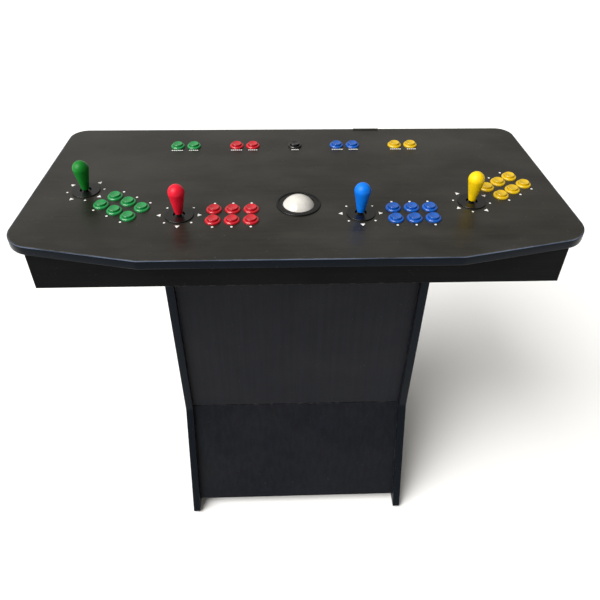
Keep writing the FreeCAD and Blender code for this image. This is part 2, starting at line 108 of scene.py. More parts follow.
# %% Graded sky
sky = bpy.data.worlds.new("studio_sky")
bpy.context.scene.world = sky
sky.use_nodes = True
sky_tree = sky.node_tree
bright_side = Vector((-0.70, 0.50, 0.50)).normalized()
sky_dim, sky_bright = 0.13, 0.68
direction = sky_tree.nodes.new("ShaderNodeTexCoord")
toward = sky_tree.nodes.new("ShaderNodeVectorMath")
toward.operation = "DOT_PRODUCT"
toward.inputs[1].default_value = bright_side
grade = sky_tree.nodes.new("ShaderNodeMapRange")
grade.inputs["From Min"].default_value = -0.4
grade.inputs["From Max"].default_value = 1.0
grade.inputs["To Min"].default_value = sky_dim
grade.inputs["To Max"].default_value = sky_bright
backdrop = sky_tree.nodes["Background"]
backdrop.inputs["Color"].default_value = (1.0, 0.985, 0.93, 1.0)
sky_tree.links.new(direction.outputs["Generated"], toward.inputs[0])
sky_tree.links.new(toward.outputs["Value"], grade.inputs["Value"])
sky_tree.links.new(grade.outputs["Result"], backdrop.inputs["Strength"])

# %% Soft sun
sun_data = bpy.data.lights.new("soft_sun", "SUN")
sun_data.energy = 4.6
sun_data.angle = math.radians(48)
sun_data.color = (1.0, 0.99, 0.97)
sun = bpy.data.objects.new("soft_sun", sun_data)
bpy.context.scene.collection.objects.link(sun)
sun_from = Vector((-0.72, -0.50, 0.95))
sun.rotation_euler = (-sun_from).to_track_quat("-Z", "Y").to_euler()
print("one soft sun of", sun_data.energy, "and a sky from", sky_dim, "to", sky_bright)

# %% [markdown]
# ## Shared effects as node groups
# Most finishes here need the same few effects: a straight grain, the dust and faint smears that hands
# leave, the pale rub along sharp edges, and the fine pits of moulded plastic. Each is built once as a
# group with named sockets. A group gives only values, and the shader stays in the material.

# %% A helper for node groups


def new_group(name, inputs, outputs):
    """An empty shader group. Inputs maps a socket's name to its default, and outputs is a list of names."""
    group = bpy.data.node_groups.new(name, "ShaderNodeTree")
    for socket_name, value in inputs.items():
        socket = group.interface.new_socket(name=socket_name, in_out="INPUT", socket_type="NodeSocketFloat")
        socket.default_value = value
    for socket_name in outputs:
        group.interface.new_socket(name=socket_name, in_out="OUTPUT", socket_type="NodeSocketFloat")
    return group, group.nodes.new("NodeGroupInput"), group.nodes.new("NodeGroupOutput")


def node(tree, kind, **settings):
    made = tree.nodes.new(kind)
    for name, value in settings.items():
        setattr(made, name, value)
    return made


def noise(tree, vector, scale, detail, roughness=0.5):
    made = node(tree, "ShaderNodeTexNoise")
    made.inputs["Scale"].default_value = scale
    made.inputs["Detail"].default_value = detail
    made.inputs["Roughness"].default_value = roughness
    if vector is not None:
        tree.links.new(vector, made.inputs["Vector"])
    return made.outputs["Fac"]


def stretched(tree, scales):
    """Object coordinates, scaled by a different amount along each axis."""
    coordinates = node(tree, "ShaderNodeTexCoord")
    mapping = node(tree, "ShaderNodeMapping")
    mapping.inputs["Scale"].default_value = scales
    tree.links.new(coordinates.outputs["Object"], mapping.inputs["Vector"])
    return mapping.outputs["Vector"]


def ramp(tree, value, low, high, out_low=0.0, out_high=1.0):
    """Stretch a value so that low gives out_low and high gives out_high, held flat outside."""
    made = node(tree, "ShaderNodeMapRange")
    made.inputs["From Min"].default_value = low
    made.inputs["From Max"].default_value = high
    made.inputs["To Min"].default_value = out_low
    made.inputs["To Max"].default_value = out_high
    tree.links.new(value, made.inputs["Value"])
    return made.outputs["Result"]


def combine(tree, operation, first, second):
    """A Math node. Each of first and second is a socket or a plain number."""
    made = node(tree, "ShaderNodeMath", operation=operation)
    for index, value in enumerate((first, second)):
        if isinstance(value, (int, float)):
            made.inputs[index].default_value = value
        else:
            tree.links.new(value, made.inputs[index])
    return made.outputs["Value"]


# %% Straight grain


def grain_group(name, scales):
    """Fine pores in broken streaks, with broader bands, that run along the axis whose scale is small."""
    group, entry, exit_node = new_group(name, {"Pores": 1.0, "Bands": 1.0}, ["Grain", "Height"])
    fine = noise(group, stretched(group, scales), 1.0, 3.0, 0.6)
    pores = ramp(group, fine, 0.50, 0.66)
    broad_scales = tuple(s * 0.16 for s in scales)
    broad = ramp(group, noise(group, stretched(group, broad_scales), 1.0, 2.0), 0.35, 0.65)
    weighted_pores = combine(group, "MULTIPLY", pores, entry.outputs["Pores"])
    weighted_bands = combine(group, "MULTIPLY", broad, entry.outputs["Bands"])
    total = combine(group, "ADD", weighted_pores, weighted_bands)
    group.links.new(combine(group, "MULTIPLY", total, 0.5), exit_node.inputs["Grain"])
    group.links.new(combine(group, "SUBTRACT", 1.0, weighted_pores), exit_node.inputs["Height"])
    return group


GRAIN_ACROSS = grain_group("grain_across", (9.0, 620.0, 620.0))
GRAIN_UPRIGHT = grain_group("grain_upright", (620.0, 620.0, 9.0))

# %% Dust and smears


def dust_group():
    """Specks is 1 on small scattered flecks, and Smears is soft, broad and uneven."""
    group, entry, exit_node = new_group("dust_and_smears", {"Amount": 1.0}, ["Specks", "Smears"])
    cells = node(group, "ShaderNodeTexVoronoi")
    cells.inputs["Scale"].default_value = 210.0
    cells.inputs["Randomness"].default_value = 1.0
    group.links.new(stretched(group, (1.0, 1.0, 1.0)), cells.inputs["Vector"])
    near = ramp(group, cells.outputs["Distance"], 0.05, 0.13, 1.0, 0.0)
    chosen = ramp(group, noise(group, stretched(group, (1.0, 1.0, 1.0)), 48.0, 1.0), 0.60, 0.68)
    flecks = combine(group, "MULTIPLY", near, chosen)
    group.links.new(combine(group, "MULTIPLY", flecks, entry.outputs["Amount"]), exit_node.inputs["Specks"])
    smear = noise(group, stretched(group, (5.0, 9.0, 7.0)), 1.0, 4.0, 0.55)
    soft = ramp(group, smear, 0.42, 0.72)
    group.links.new(combine(group, "MULTIPLY", soft, entry.outputs["Amount"]), exit_node.inputs["Smears"])
    return group


DUST = dust_group()

# %% Edge wear


def wear_group():
    """Wear is 1 where an outer corner has been worn by rubbing, and breaks up along the edge."""
    group, entry, exit_node = new_group("edge_wear", {"Amount": 1.0}, ["Wear"])
    thickness = node(group, "ShaderNodeAmbientOcclusion", samples=6, inside=True)
    thickness.inputs["Distance"].default_value = 0.0022
    near_edge = ramp(group, thickness.outputs["AO"], 0.62, 0.86, 1.0, 0.0)
    patches = ramp(group, noise(group, stretched(group, (1.0, 1.0, 1.0)), 90.0, 4.0, 0.6), 0.45, 0.62)
    edge_lightened = combine(group, "MULTIPLY", near_edge, patches)
    group.links.new(combine(group, "MULTIPLY", edge_lightened, entry.outputs["Amount"]), exit_node.inputs["Wear"])
    return group


WEAR = wear_group()

# %% Moulded pits


def moulded_group():
    """Height of a fine orange-peel skin, as a moulding tool leaves it, and a slow tint for its colour."""
    group, entry, exit_node = new_group("moulded_skin", {"Peel": 900.0}, ["Height", "Tint"])
    made = node(group, "ShaderNodeTexNoise")
    made.inputs["Detail"].default_value = 2.0
    group.links.new(stretched(group, (1.0, 1.0, 1.0)), made.inputs["Vector"])
    group.links.new(entry.outputs["Peel"], made.inputs["Scale"])
    group.links.new(made.outputs["Fac"], exit_node.inputs["Height"])
    slow = ramp(group, noise(group, stretched(group, (1.0, 1.0, 1.0)), 60.0, 3.0), 0.3, 0.7)
    group.links.new(slow, exit_node.inputs["Tint"])
    return group


MOULDED = moulded_group()
print("groups:", [g.name for g in bpy.data.node_groups])

# %% [markdown]
# ## Materials
# A material starts as a bare Principled shader. The helpers below add what every finish shares: a group
# placed with its own values, a colour mixed by a mask, and a bump that reads a height.

# %% Helpers for materials


def new_material(name, **settings):
    """A material whose Principled inputs are set by name, with underscores for spaces."""
    material = bpy.data.materials.new(name)
    material.use_nodes = True
    shader = material.node_tree.nodes["Principled BSDF"]
    for key, value in settings.items():
        shader.inputs[key.replace("_", " ")].default_value = value
    return material, material.node_tree, shader


def use_group(tree, group, **values):
    placed = node(tree, "ShaderNodeGroup", node_tree=group)
    for key, value in values.items():
        placed.inputs[key].default_value = value
    return placed.outputs


def mix_colour(tree, mask, first, second):
    """Colour first where the mask is 0 and second where it is 1. Either may be a socket."""
    mixed = node(tree, "ShaderNodeMix", data_type="RGBA")
    tree.links.new(mask, mixed.inputs["Factor"])
    for socket_name, value in (("A", first), ("B", second)):
        socket = [s for s in mixed.inputs if s.name == socket_name and s.type == "RGBA"][0]
        if isinstance(value, tuple):
            socket.default_value = (*value, 1.0)
        else:
            tree.links.new(value, socket)
    return [s for s in mixed.outputs if s.type == "RGBA"][0]


def add_bump(tree, shader, height, distance):
    bump = node(tree, "ShaderNodeBump")
    bump.inputs["Distance"].default_value = distance
    bump.inputs["Strength"].default_value = 1.0
    tree.links.new(height, bump.inputs["Height"])
    tree.links.new(bump.outputs["Normal"], shader.inputs["Normal"])


# %% Black laminate and black board


def black_board(name, grain, dark, light, low_gloss, high_gloss, dust, specular, smear):
    """Black-faced board: grain in the colour, the gloss and the bump, under dust and smears."""
    material, tree, shader = new_material(name, Specular_IOR_Level=specular)
    streaks = use_group(tree, grain)
    dirt = use_group(tree, DUST, Amount=dust)
    worn = use_group(tree, WEAR, Amount=0.8)
    face = mix_colour(tree, streaks["Grain"], dark, light)
    smeared = mix_colour(tree, combine(tree, "MULTIPLY", dirt["Smears"], smear), face, (0.06, 0.057, 0.050))
    dusty = mix_colour(tree, combine(tree, "MULTIPLY", dirt["Specks"], 0.7), smeared, (0.34, 0.33, 0.31))
    edge_lightened = mix_colour(tree, worn["Wear"], dusty, (0.13, 0.12, 0.11))
    tree.links.new(edge_lightened, shader.inputs["Base Color"])
    mixed_gloss = combine(tree, "ADD", streaks["Grain"], combine(tree, "MULTIPLY", dirt["Smears"], 0.6))
    gloss = ramp(tree, mixed_gloss, 0.0, 1.4, low_gloss, high_gloss)
    tree.links.new(gloss, shader.inputs["Roughness"])
    add_bump(tree, shader, streaks["Height"], 0.00004)
    return material


laminate = black_board("black_laminate", GRAIN_ACROSS, (0.0052, 0.0046, 0.0028), (0.0116, 0.0104, 0.0068),
                       0.27, 0.42, 1.0, 0.42, 0.28)
box_board = black_board("black_board_box", GRAIN_ACROSS, (0.0020, 0.0022, 0.0026),
                        (0.0046, 0.0049, 0.0058), 0.45, 0.60, 0.4, 0.05, 0.12)
board_upright = black_board("black_board_upright", GRAIN_UPRIGHT, (0.0048, 0.0055, 0.0082),
                            (0.0094, 0.0105, 0.0152), 0.42, 0.58, 0.6, 0.10, 0.12)
# The lower front panel is the same board as the upright panels; this darker copy is painted shade.
kick_board_shaded = black_board("black_kick_board_shaded", GRAIN_UPRIGHT, (0.0042, 0.0049, 0.0073),
                         (0.0084, 0.0096, 0.0138), 0.45, 0.60, 0.5, 0.075, 0.10)

# %% Moulded plastics and vinyl


def moulded(name, colour, gloss, peel=900.0, depth=0.00003, specular=0.4, wear=0.0, sheen=(1.0, 1.0, 1.0)):
    """Coloured plastic: a slow tint, a dust film in the gloss and the peel of the mould. The wear mask
    reaches two millimetres in, so it is only for pieces thicker than that. Sheen tints the reflection."""
    material, tree, shader = new_material(name, Specular_IOR_Level=specular, Specular_Tint=(*sheen, 1.0))
    skin = use_group(tree, MOULDED, Peel=peel)
    dirt = use_group(tree, DUST, Amount=0.7)
    worn = use_group(tree, WEAR, Amount=wear)
    deep = tuple(channel * 0.82 for channel in colour)
    pale = tuple(min(1.0, channel * 1.12 + 0.05) for channel in colour)
    tinted = mix_colour(tree, skin["Tint"], deep, colour)
    edge_lightened = mix_colour(tree, worn["Wear"], tinted, pale)
    dusty = mix_colour(tree, combine(tree, "MULTIPLY", dirt["Specks"], 0.35), edge_lightened, (0.5, 0.49, 0.47))
    tree.links.new(dusty, shader.inputs["Base Color"])
    tree.links.new(ramp(tree, dirt["Smears"], 0.0, 1.0, gloss, gloss + 0.14), shader.inputs["Roughness"])
    add_bump(tree, shader, skin["Height"], depth)
    return material


def paint_top_edge_highlight(material, low, high, colour):
    """Lighten a finish between two heights with a painted highlight along its upper corner, broken up by
    noise.
    """
    tree = material.node_tree
    shader = tree.nodes["Principled BSDF"]
    base = shader.inputs["Base Color"].links[0].from_socket
    coordinates = node(tree, "ShaderNodeTexCoord")
    split = node(tree, "ShaderNodeSeparateXYZ")
    tree.links.new(coordinates.outputs["Object"], split.inputs["Vector"])
    climb = ramp(tree, split.outputs["Z"], low, high)
    uneven = ramp(tree, noise(tree, coordinates.outputs["Object"], 14.0, 2.0), 0.3, 0.6, 0.35, 1.0)
    # The lighter colour mixed in here is a painted highlight.
    edge_lightened = mix_colour(tree, combine(tree, "MULTIPLY", climb, uneven), base, colour)
    tree.links.new(edge_lightened, shader.inputs["Base Color"])


BUTTON_COLOURS = {
    "green": (0.008, 0.245, 0.058),
    "red": (0.50, 0.006, 0.016),
    "blue": (0.002, 0.082, 0.40),
    "yellow": (0.64, 0.41, 0.002),
    "black": (0.0035, 0.0035, 0.004),
}
HANDLE_COLOURS = {
    "green": (0.003, 0.190, 0.018),
    "red": (0.72, 0.008, 0.030),
    "blue": (0.0004, 0.170, 0.76),
    "yellow": (0.84, 0.56, 0.002),
}
button_plastic = {name: moulded(name + "_plastic", colour, 0.17, specular=0.75)
                  for name, colour in BUTTON_COLOURS.items()}
handle_plastic = {name: moulded(name + "_handle_plastic", colour, 0.38, peel=700.0, specular=0.24)
                  for name, colour in HANDLE_COLOURS.items()}
control_plastic = moulded("control_black_plastic", (0.0035, 0.0035, 0.004), 0.22, specular=0.46)
ring_plastic = moulded("ring_black_plastic", (0.0045, 0.0045, 0.005), 0.24, specular=0.30, wear=0.15)
edge_vinyl = moulded("edge_vinyl", (0.0018, 0.0024, 0.0042), 0.26, peel=500.0, specular=0.11,
                     sheen=(0.62, 0.80, 1.0))
panel_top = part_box("control_top")[1].z
# A bluish painted highlight along the top corner of the edging.
paint_top_edge_highlight(edge_vinyl, panel_top - 1.3 * MM, panel_top - 0.4 * MM, (0.085, 0.105, 0.150))
switch_plastic = moulded("switch_plastic", (0.02, 0.02, 0.02), 0.5)
ball_resin = moulded("ball_resin", (0.64, 0.615, 0.575), 0.20, peel=300.0, depth=0.000008, specular=0.5)
foot_rubber = moulded("foot_rubber", (0.018, 0.018, 0.018), 0.7, peel=350.0, depth=0.0001)
white_ink = moulded("white_ink", (0.78, 0.78, 0.76), 0.45)

# %% Metals, raw board and circuit board


def plated_metal(name, colour, gloss):
    """Metal with drawn lines in its gloss and a few dull patches."""
    material, tree, shader = new_material(name, Metallic=1.0)
    lines = noise(tree, stretched(tree, (40.0, 900.0, 900.0)), 1.0, 3.0)
    patches = ramp(tree, noise(tree, stretched(tree, (1.0, 1.0, 1.0)), 130.0, 3.0), 0.4, 0.7)
    dull = tuple(channel * 0.7 for channel in colour)
    tree.links.new(mix_colour(tree, patches, colour, dull), shader.inputs["Base Color"])
    tree.links.new(ramp(tree, lines, 0.3, 0.7, gloss, gloss + 0.22), shader.inputs["Roughness"])
    add_bump(tree, shader, lines, 0.00001)
    return material


def raw_fibre(name, dark, light):
    """Unfinished fibreboard: pressed fibres of two browns with a furry surface."""
    material, tree, shader = new_material(name, Specular_IOR_Level=0.3)
    fibres = noise(tree, stretched(tree, (220.0, 420.0, 420.0)), 1.0, 4.0, 0.65)
    browns = mix_colour(tree, ramp(tree, fibres, 0.35, 0.65), dark, light)
    tree.links.new(browns, shader.inputs["Base Color"])
    tree.links.new(ramp(tree, fibres, 0.3, 0.7, 0.75, 0.95), shader.inputs["Roughness"])
    add_bump(tree, shader, fibres, 0.0002)
    return material


zinc = plated_metal("zinc_plate", (0.62, 0.62, 0.60), 0.3)
brass = plated_metal("brass_screw", (0.60, 0.42, 0.20), 0.35)
raw_board = raw_fibre("raw_board", (0.22, 0.145, 0.085), (0.40, 0.29, 0.18))
circuit = moulded("circuit_board", (0.010, 0.110, 0.045), 0.35, peel=1500.0)
print("materials:", len(bpy.data.materials))

# %% [markdown]
# ## Finishing the CAD pieces
# A CAD node whose shape is right keeps its mesh and only gets a material. The boards are sawn with
# knife-sharp corners in the model, and no real board is, so a weld and a fine bevel are added as
# modifiers. The bevel catches a thread of light along each edge.

# %% Materials on the CAD nodes


def finish_node(name, material):
    mesh = nodes[name].data
    mesh.materials.clear()
    mesh.materials.append(material)


node_finishes = {
    "control_top": laminate,
    "box_walls": box_board,
    "box_bottom": raw_board,
    "pedestal_sides": board_upright,
    "upper_front_panel": board_upright,
    "lower_front_panel": kick_board_shaded,
    "back_panel": board_upright,
    "inner_frame": raw_board,
    "levelling_feet": foot_rubber,
    "microswitches": switch_plastic,
    "joystick_mounts": control_plastic,
    "trackball_ring": ring_plastic,
    "trackball_housing": control_plastic,
    "trackball_ball": ball_resin,
    "trackball_forward_roller": zinc,
    "trackball_sideways_roller": zinc,
    "encoder_board": circuit,
}
for name, material in node_finishes.items():
    finish_node(name, material)
for name in nodes:
    colour = name.split("_")[0]
    if name.endswith("_stick_cradle"):
        finish_node(name, zinc)
    elif "_button" in name and colour in button_plastic:
        finish_node(name, button_plastic[colour])
print("finished", len(node_finishes), "named nodes and the coloured controls")

# %% Softened board edges


def soften(name, width):
    """Join the loose triangles of a board and round its long edges a little."""
    board = nodes[name]
    weld = board.modifiers.new("weld", "WELD")
    weld.merge_threshold = 0.00001
    bevel = board.modifiers.new("bevel", "BEVEL")
    bevel.width = width
    bevel.segments = 2
    bevel.limit_method = "ANGLE"
    bevel.angle_limit = math.radians(40)


for name in ("box_walls", "pedestal_sides", "upper_front_panel", "lower_front_panel"):
    soften(name, 0.8 * MM)

# %% [markdown]
# ## Building new pieces
# Two helpers start every new piece. One turns a bmesh into an object that rides on its body. The other
# spins a half section about an upright axis, which is how a button flange or a washer is turned.

# %% Helpers for pieces


def place_piece(name, bm, material, body, smooth_angle=35.0):
    """Make the object from a finished bmesh, with soft faces and sharp corners, on its body."""
    bmesh.ops.remove_doubles(bm, verts=bm.verts, dist=0.000002)
    bmesh.ops.recalc_face_normals(bm, faces=bm.faces)
    for face in bm.faces:
        face.smooth = True
    limit = math.radians(smooth_angle)
    for edge in bm.edges:
        if len(edge.link_faces) == 2 and edge.calc_face_angle(0.0) > limit:
            edge.smooth = False
    torn = sum(1 for edge in bm.edges if len(edge.link_faces) != 2)
    volume = bm.calc_volume(signed=True) * 1e6
    mesh = bpy.data.meshes.new(name)
    bm.to_mesh(mesh)
    bm.free()
    if not mesh.polygons or torn or volume <= 0:
        raise ValueError(f"{name}: {len(mesh.polygons)} faces, {torn} open edges, {volume:.2f} cm3")
    piece = bpy.data.objects.new(name, mesh)
    bpy.context.scene.collection.objects.link(piece)
    mesh.materials.append(material)
    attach(piece, body)
    print(name, len(mesh.polygons), "faces", round(volume, 1), "cm3")
    return piece


def rounded(points, steps=5):
    """A half section from (radius, height, corner radius) points, with each corner turned as an arc."""
    path = []
    count = len(points)
    for index, (x, z, corner) in enumerate(points):
        here = Vector((x, z))
        if corner == 0:
            path.append(here)
            continue
        before = Vector(points[index - 1][:2]) - here
        after = Vector(points[(index + 1) % count][:2]) - here
        half = before.angle(after) / 2
        middle = here + (before.normalized() + after.normalized()).normalized() * (corner / math.sin(half))
        start = here + before.normalized() * (corner / math.tan(half)) - middle
        sweep = (here + after.normalized() * (corner / math.tan(half)) - middle).angle_signed(start)
        for step in range(steps + 1):
            path.append(middle + Matrix.Rotation(sweep * step / steps, 2) @ start)
    return path


def lathe(bm, path, place, segments):
    """Spin a closed half section, in metres, about the upright line through place. A stretch of it that
    lies on that line makes no face, so it gets no edge."""
    corners = [bm.verts.new((place.x + p.x, place.y, place.z + p.y)) for p in path]
    loop = []
    for a, b in zip(corners, corners[1:] + corners[:1]):
        if a.co.x - place.x > 1e-6 or b.co.x - place.x > 1e-6:
            loop.append(bm.edges.new((a, b)))
    bmesh.ops.spin(bm, geom=corners + loop, cent=place, axis=(0, 0, 1), dvec=(0, 0, 0),
                   angle=2 * math.pi, steps=segments, use_merge=True)


def centre_of(name):
    low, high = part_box(name)
    return (low + high) / 2


print("the playing surface is", round(panel_top, 4), "m above the floor")

# %% [markdown]
# ## The vinyl edging
# T-moulding is a vinyl strip with a barbed tongue that is hammered into a slot round the board. Its
# outside is slightly domed. The pale line round the panel along its upper corner is a painted highlight.
# The outline is made once as a flat face, its corners are rounded, and a thin rim of it is pulled up to
# the board's thickness. Bevelling the two outer edges makes the dome.

# %% Edge moulding
knee_half = 310.0 * MM
front_corner_half = 579.0 * MM
rear_half = 546.0 * MM
wing_setback = 60.0 * MM
small_corner = 40.0 * MM
large_corner = 62.0 * MM
moulding_thickness = 2.5 * MM
dome = 2.0 * MM
edge_low, edge_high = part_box("top_edge_moulding")
front_y = edge_low.y
rear_y = edge_high.y
outline = [
    (-knee_half, front_y, small_corner),
    (knee_half, front_y, small_corner),
    (front_corner_half, front_y + wing_setback, large_corner),
    (rear_half, rear_y, small_corner),
    (-rear_half, rear_y, small_corner),
    (-front_corner_half, front_y + wing_setback, large_corner),
]

bm = bmesh.new()
ring = [bm.verts.new((x, y, edge_low.z)) for x, y, radius in outline]
bm.faces.new(ring)
for index, (x, y, radius) in enumerate(outline):
    here = Vector((x, y))
    before = Vector(outline[index - 1][:2]) - here
    after = Vector(outline[(index + 1) % len(outline)][:2]) - here
    reach = radius / math.tan(before.angle(after) / 2)
    corner = min(bm.verts, key=lambda v: (v.co.xy - here).length)
    bmesh.ops.bevel(bm, geom=[corner], offset=reach, segments=18, profile=0.5, affect="VERTICES",
                    material=-1)
sheet_face = bm.faces[:]
rim = bmesh.ops.inset_region(bm, faces=sheet_face, thickness=moulding_thickness, use_even_offset=True,
                             use_boundary=True)
inner = [f for f in bm.faces if f not in rim["faces"]]
bmesh.ops.delete(bm, geom=inner, context="FACES")
raised = bmesh.ops.extrude_face_region(bm, geom=bm.faces[:], use_keep_orig=True)
lifted = [g for g in raised["geom"] if isinstance(g, bmesh.types.BMVert)]
bmesh.ops.translate(bm, verts=lifted, vec=(0, 0, edge_high.z - edge_low.z))
bmesh.ops.recalc_face_normals(bm, faces=bm.faces)


def on_outer_rim(edge):
    """True on the two edge loops where the band's outside meets its top and its underside."""
    flat = abs(edge.verts[0].co.z - edge.verts[1].co.z) < 1e-6
    kinds = [abs(f.normal.z) > 0.5 for f in edge.link_faces]
    wall = [f for f in edge.link_faces if abs(f.normal.z) < 0.5]
    return flat and sum(kinds) == 1 and wall[0].normal.dot(wall[0].calc_center_median().xy.to_3d()) > 0


outer = [e for e in bm.edges if on_outer_rim(e)]
bmesh.ops.bevel(bm, geom=outer, offset=dome, segments=5, profile=0.5, affect="EDGES", material=-1)
edging = place_piece("panel_edging", bm, edge_vinyl, "cabinet")
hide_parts("top_edge_moulding")

# %% [markdown]
# ## Button housings
# Each push button sits in a housing: a broad flange with a rolled edge on top of the board, a threaded
# barrel through it and a nut under it. The CAD model keeps all of them in one node, so here they are
# turned again, finer, and grouped by their colour.

# %% Housing section
flange_radius = 16.4 * MM
flange_height = 4.2 * MM
barrel_radius = 13.9 * MM
barrel_bore = 11.5 * MM
barrel_depth = 28.0 * MM
bore_lip = 0.6 * MM
flange_roll = 3.0 * MM
flange_lift = 0.05 * MM
flange_section = rounded([
    (barrel_bore, -barrel_depth, 0), (barrel_bore, flange_height, bore_lip),
    (flange_radius, flange_height, flange_roll), (flange_radius, flange_lift, 0),
    (barrel_radius, flange_lift, 0), (barrel_radius, -barrel_depth, 0),
], 6)
nut_radius = 18.0 * MM
nut_height = 8.0 * MM
nut_bore = 14.0 * MM
nut_steps = 48
nut_chamfer = 0.8 * MM
board_thickness = 19.0 * MM


def add_nut(bm, place):
    """Hexagonal nut under the board, bored for the barrel, with its corners taken off."""
    high = place.z - board_thickness
    low = high - nut_height
    flat = nut_radius * math.cos(math.pi / 6)
    rings = []
    for step in range(nut_steps):
        angle = 2 * math.pi * step / nut_steps
        outer = flat / math.cos(angle % (math.pi / 3) - math.pi / 6)
        rings.append([bm.verts.new((place.x + r * math.cos(angle), place.y + r * math.sin(angle), z))
                      for r, z in ((nut_bore, low), (nut_bore, high), (outer, high), (outer, low))])
    for here, after in zip(rings, rings[1:] + rings[:1]):
        for k in range(4):
            bm.faces.new((here[k], after[k], after[(k + 1) % 4], here[(k + 1) % 4]))
    corners = [bm.edges.get((ring[2], ring[3])) for ring in rings[::nut_steps // 6]]
    bmesh.ops.bevel(bm, geom=corners, offset=nut_chamfer, segments=2, profile=0.5, affect="EDGES",
                    material=-1)


for colour in BUTTON_COLOURS:
    bm = bmesh.new()
    mine = [n for n in nodes if n.startswith(colour) and "_button" in n]
    for name in mine:
        middle = centre_of(name)
        place = Vector((middle.x, middle.y, panel_top))
        lathe(bm, flange_section, place, 40)
        add_nut(bm, place)
    housing = place_piece(colour + "_button_housings", bm, button_plastic[colour], "cabinet")
    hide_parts("button_housings")

# %% [markdown]
# ## Joysticks
# A bat handle is a ball that runs into a straight taper. It is turned on a lathe in plastic, so it is
# spun here too, from a half section whose taper leaves the ball at its tangent. Below it sit a slim
# sleeve, a steel shaft and a thin dome. The dome is part of a ball round the pivot, so it keeps the
# hole closed however far the stick leans. All of them ride on the joystick's own body.

# %% Handle section
handle_top = 70.5 * MM
handle_bottom = 5.4 * MM
handle_radius = 16.8 * MM
neck_radius = 8.0 * MM
handle_foot = 1.0 * MM
handle_socket = 34.0 * MM
shaft_radius = 4.75 * MM
pivot_depth = 30.0 * MM


def handle_section():
    """Half section of the grip: the ball as an arc, then the taper, then a rounded foot."""
    centre = handle_top - handle_radius
    drop = centre - handle_bottom - handle_foot
    reach = math.hypot(drop, neck_radius)
    lean = math.acos(handle_radius / reach) - math.atan2(drop, neck_radius)
    steps = 26
    points = []
    for step in range(steps + 1):
        angle = math.pi / 2 + (lean - math.pi / 2) * step / steps
        points.append(Vector((handle_radius * math.cos(angle), centre + handle_radius * math.sin(angle))))
    for step in range(7):
        angle = -math.pi / 2 * step / 6
        points.append(Vector((neck_radius - handle_foot + handle_foot * math.cos(angle),
                              handle_bottom + handle_foot + handle_foot * math.sin(angle))))
    points.append(Vector((shaft_radius, handle_bottom)))
    points.append(Vector((shaft_radius, handle_bottom + handle_socket)))
    points.append(Vector((0.0, handle_bottom + handle_socket)))
    points[0].x = 0.0
    return points


# %% Shaft, dome and collar sections
shaft_play = 0.05 * MM
shaft_bottom = -56.0 * MM
actuator_radius = 9.0 * MM
actuator_top = -46.0 * MM
collar_radius = 5.2 * MM
collar_foot = 1.2 * MM
dome_outer = 31.5 * MM
dome_inner = 30.6 * MM
dome_spread = math.radians(34.0)
dome_steps = 16

bar = shaft_radius - shaft_play
bar_top = handle_bottom + 33.0 * MM
shaft_section = [Vector(p) for p in (
    (0.0, shaft_bottom), (actuator_radius, shaft_bottom), (actuator_radius, actuator_top),
    (bar, actuator_top), (bar, bar_top), (0.0, bar_top))]
collar_top = handle_bottom - shaft_play
collar_section = [Vector(p) for p in (
    (shaft_radius, collar_foot), (collar_radius, collar_foot),
    (collar_radius, collar_top), (shaft_radius, collar_top))]


def dome_section():
    """A thin slice of a ball round the pivot, open where the shaft passes."""
    first = math.asin(shaft_radius / dome_outer)
    angles = [first + (dome_spread - first) * k / dome_steps for k in range(dome_steps + 1)]
    out = [Vector((dome_outer * math.sin(a), dome_outer * math.cos(a) - pivot_depth)) for a in angles]
    back = [Vector((dome_inner * math.sin(a), dome_inner * math.cos(a) - pivot_depth))
            for a in reversed(angles)]
    return out + back


for colour in handle_plastic:
    middle = centre_of(colour + "_stick_cradle")
    place = Vector((middle.x, middle.y, panel_top))
    body = colour + "_joystick"
    bm = bmesh.new()
    lathe(bm, handle_section(), place, 64)
    handle = place_piece(colour + "_bat_handle", bm, handle_plastic[colour], body, 50.0)
    bm = bmesh.new()
    lathe(bm, shaft_section, place, 32)
    shaft = place_piece(colour + "_stick_shaft", bm, zinc, body)
    bm = bmesh.new()
    lathe(bm, dome_section(), place, 56)
    lathe(bm, collar_section, place, 40)
    dome = place_piece(colour + "_dust_dome", bm, control_plastic, body)
    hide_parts(body)
    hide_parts(body)
    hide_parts(body)

# %% [markdown]
# ## Printed marks
# The panel is printed with small white marks: an arrow on each side of a joystick, a dot between the
# arrows, a dot outside each action button and a short caption under each button of the back row. The
# captions are made as plain rows of ticks. A mark is a film of ink, so it is only a tenth of a
# millimetre thick.

# %% Marks
ink = 0.1 * MM
arrow_reach = 40.5 * MM
dot_reach = 38.5 * MM
upper_dot = 24.9 * MM
lower_dot = 22.1 * MM
arrow_size = 5.6 * MM
stick_dot_size = 2.2 * MM
button_dot_size = 2.4 * MM


def add_disc(bm, x, y, radius, sides, turn):
    """A thin flat polygon of ink, turned so that its first corner points along the given angle."""
    spot = Matrix.Translation((x, y, panel_top + ink / 2)) @ Matrix.Rotation(turn, 4, "Z")
    bmesh.ops.create_cone(bm, cap_ends=True, segments=sides, radius1=radius, radius2=radius, depth=ink,
                          matrix=spot @ Matrix.Rotation(-math.pi / 2, 4, "Z"))


def add_tick(bm, x, y, size):
    spot = Matrix.Translation((x, y, panel_top + ink / 2))
    bmesh.ops.create_cube(bm, size=1.0, matrix=spot @ Matrix.Diagonal((size, size, ink, 1.0)))


def joint_axis(name):
    return Vector([j for j in frame["joints"] if j["name"] == name][0]["axis"])


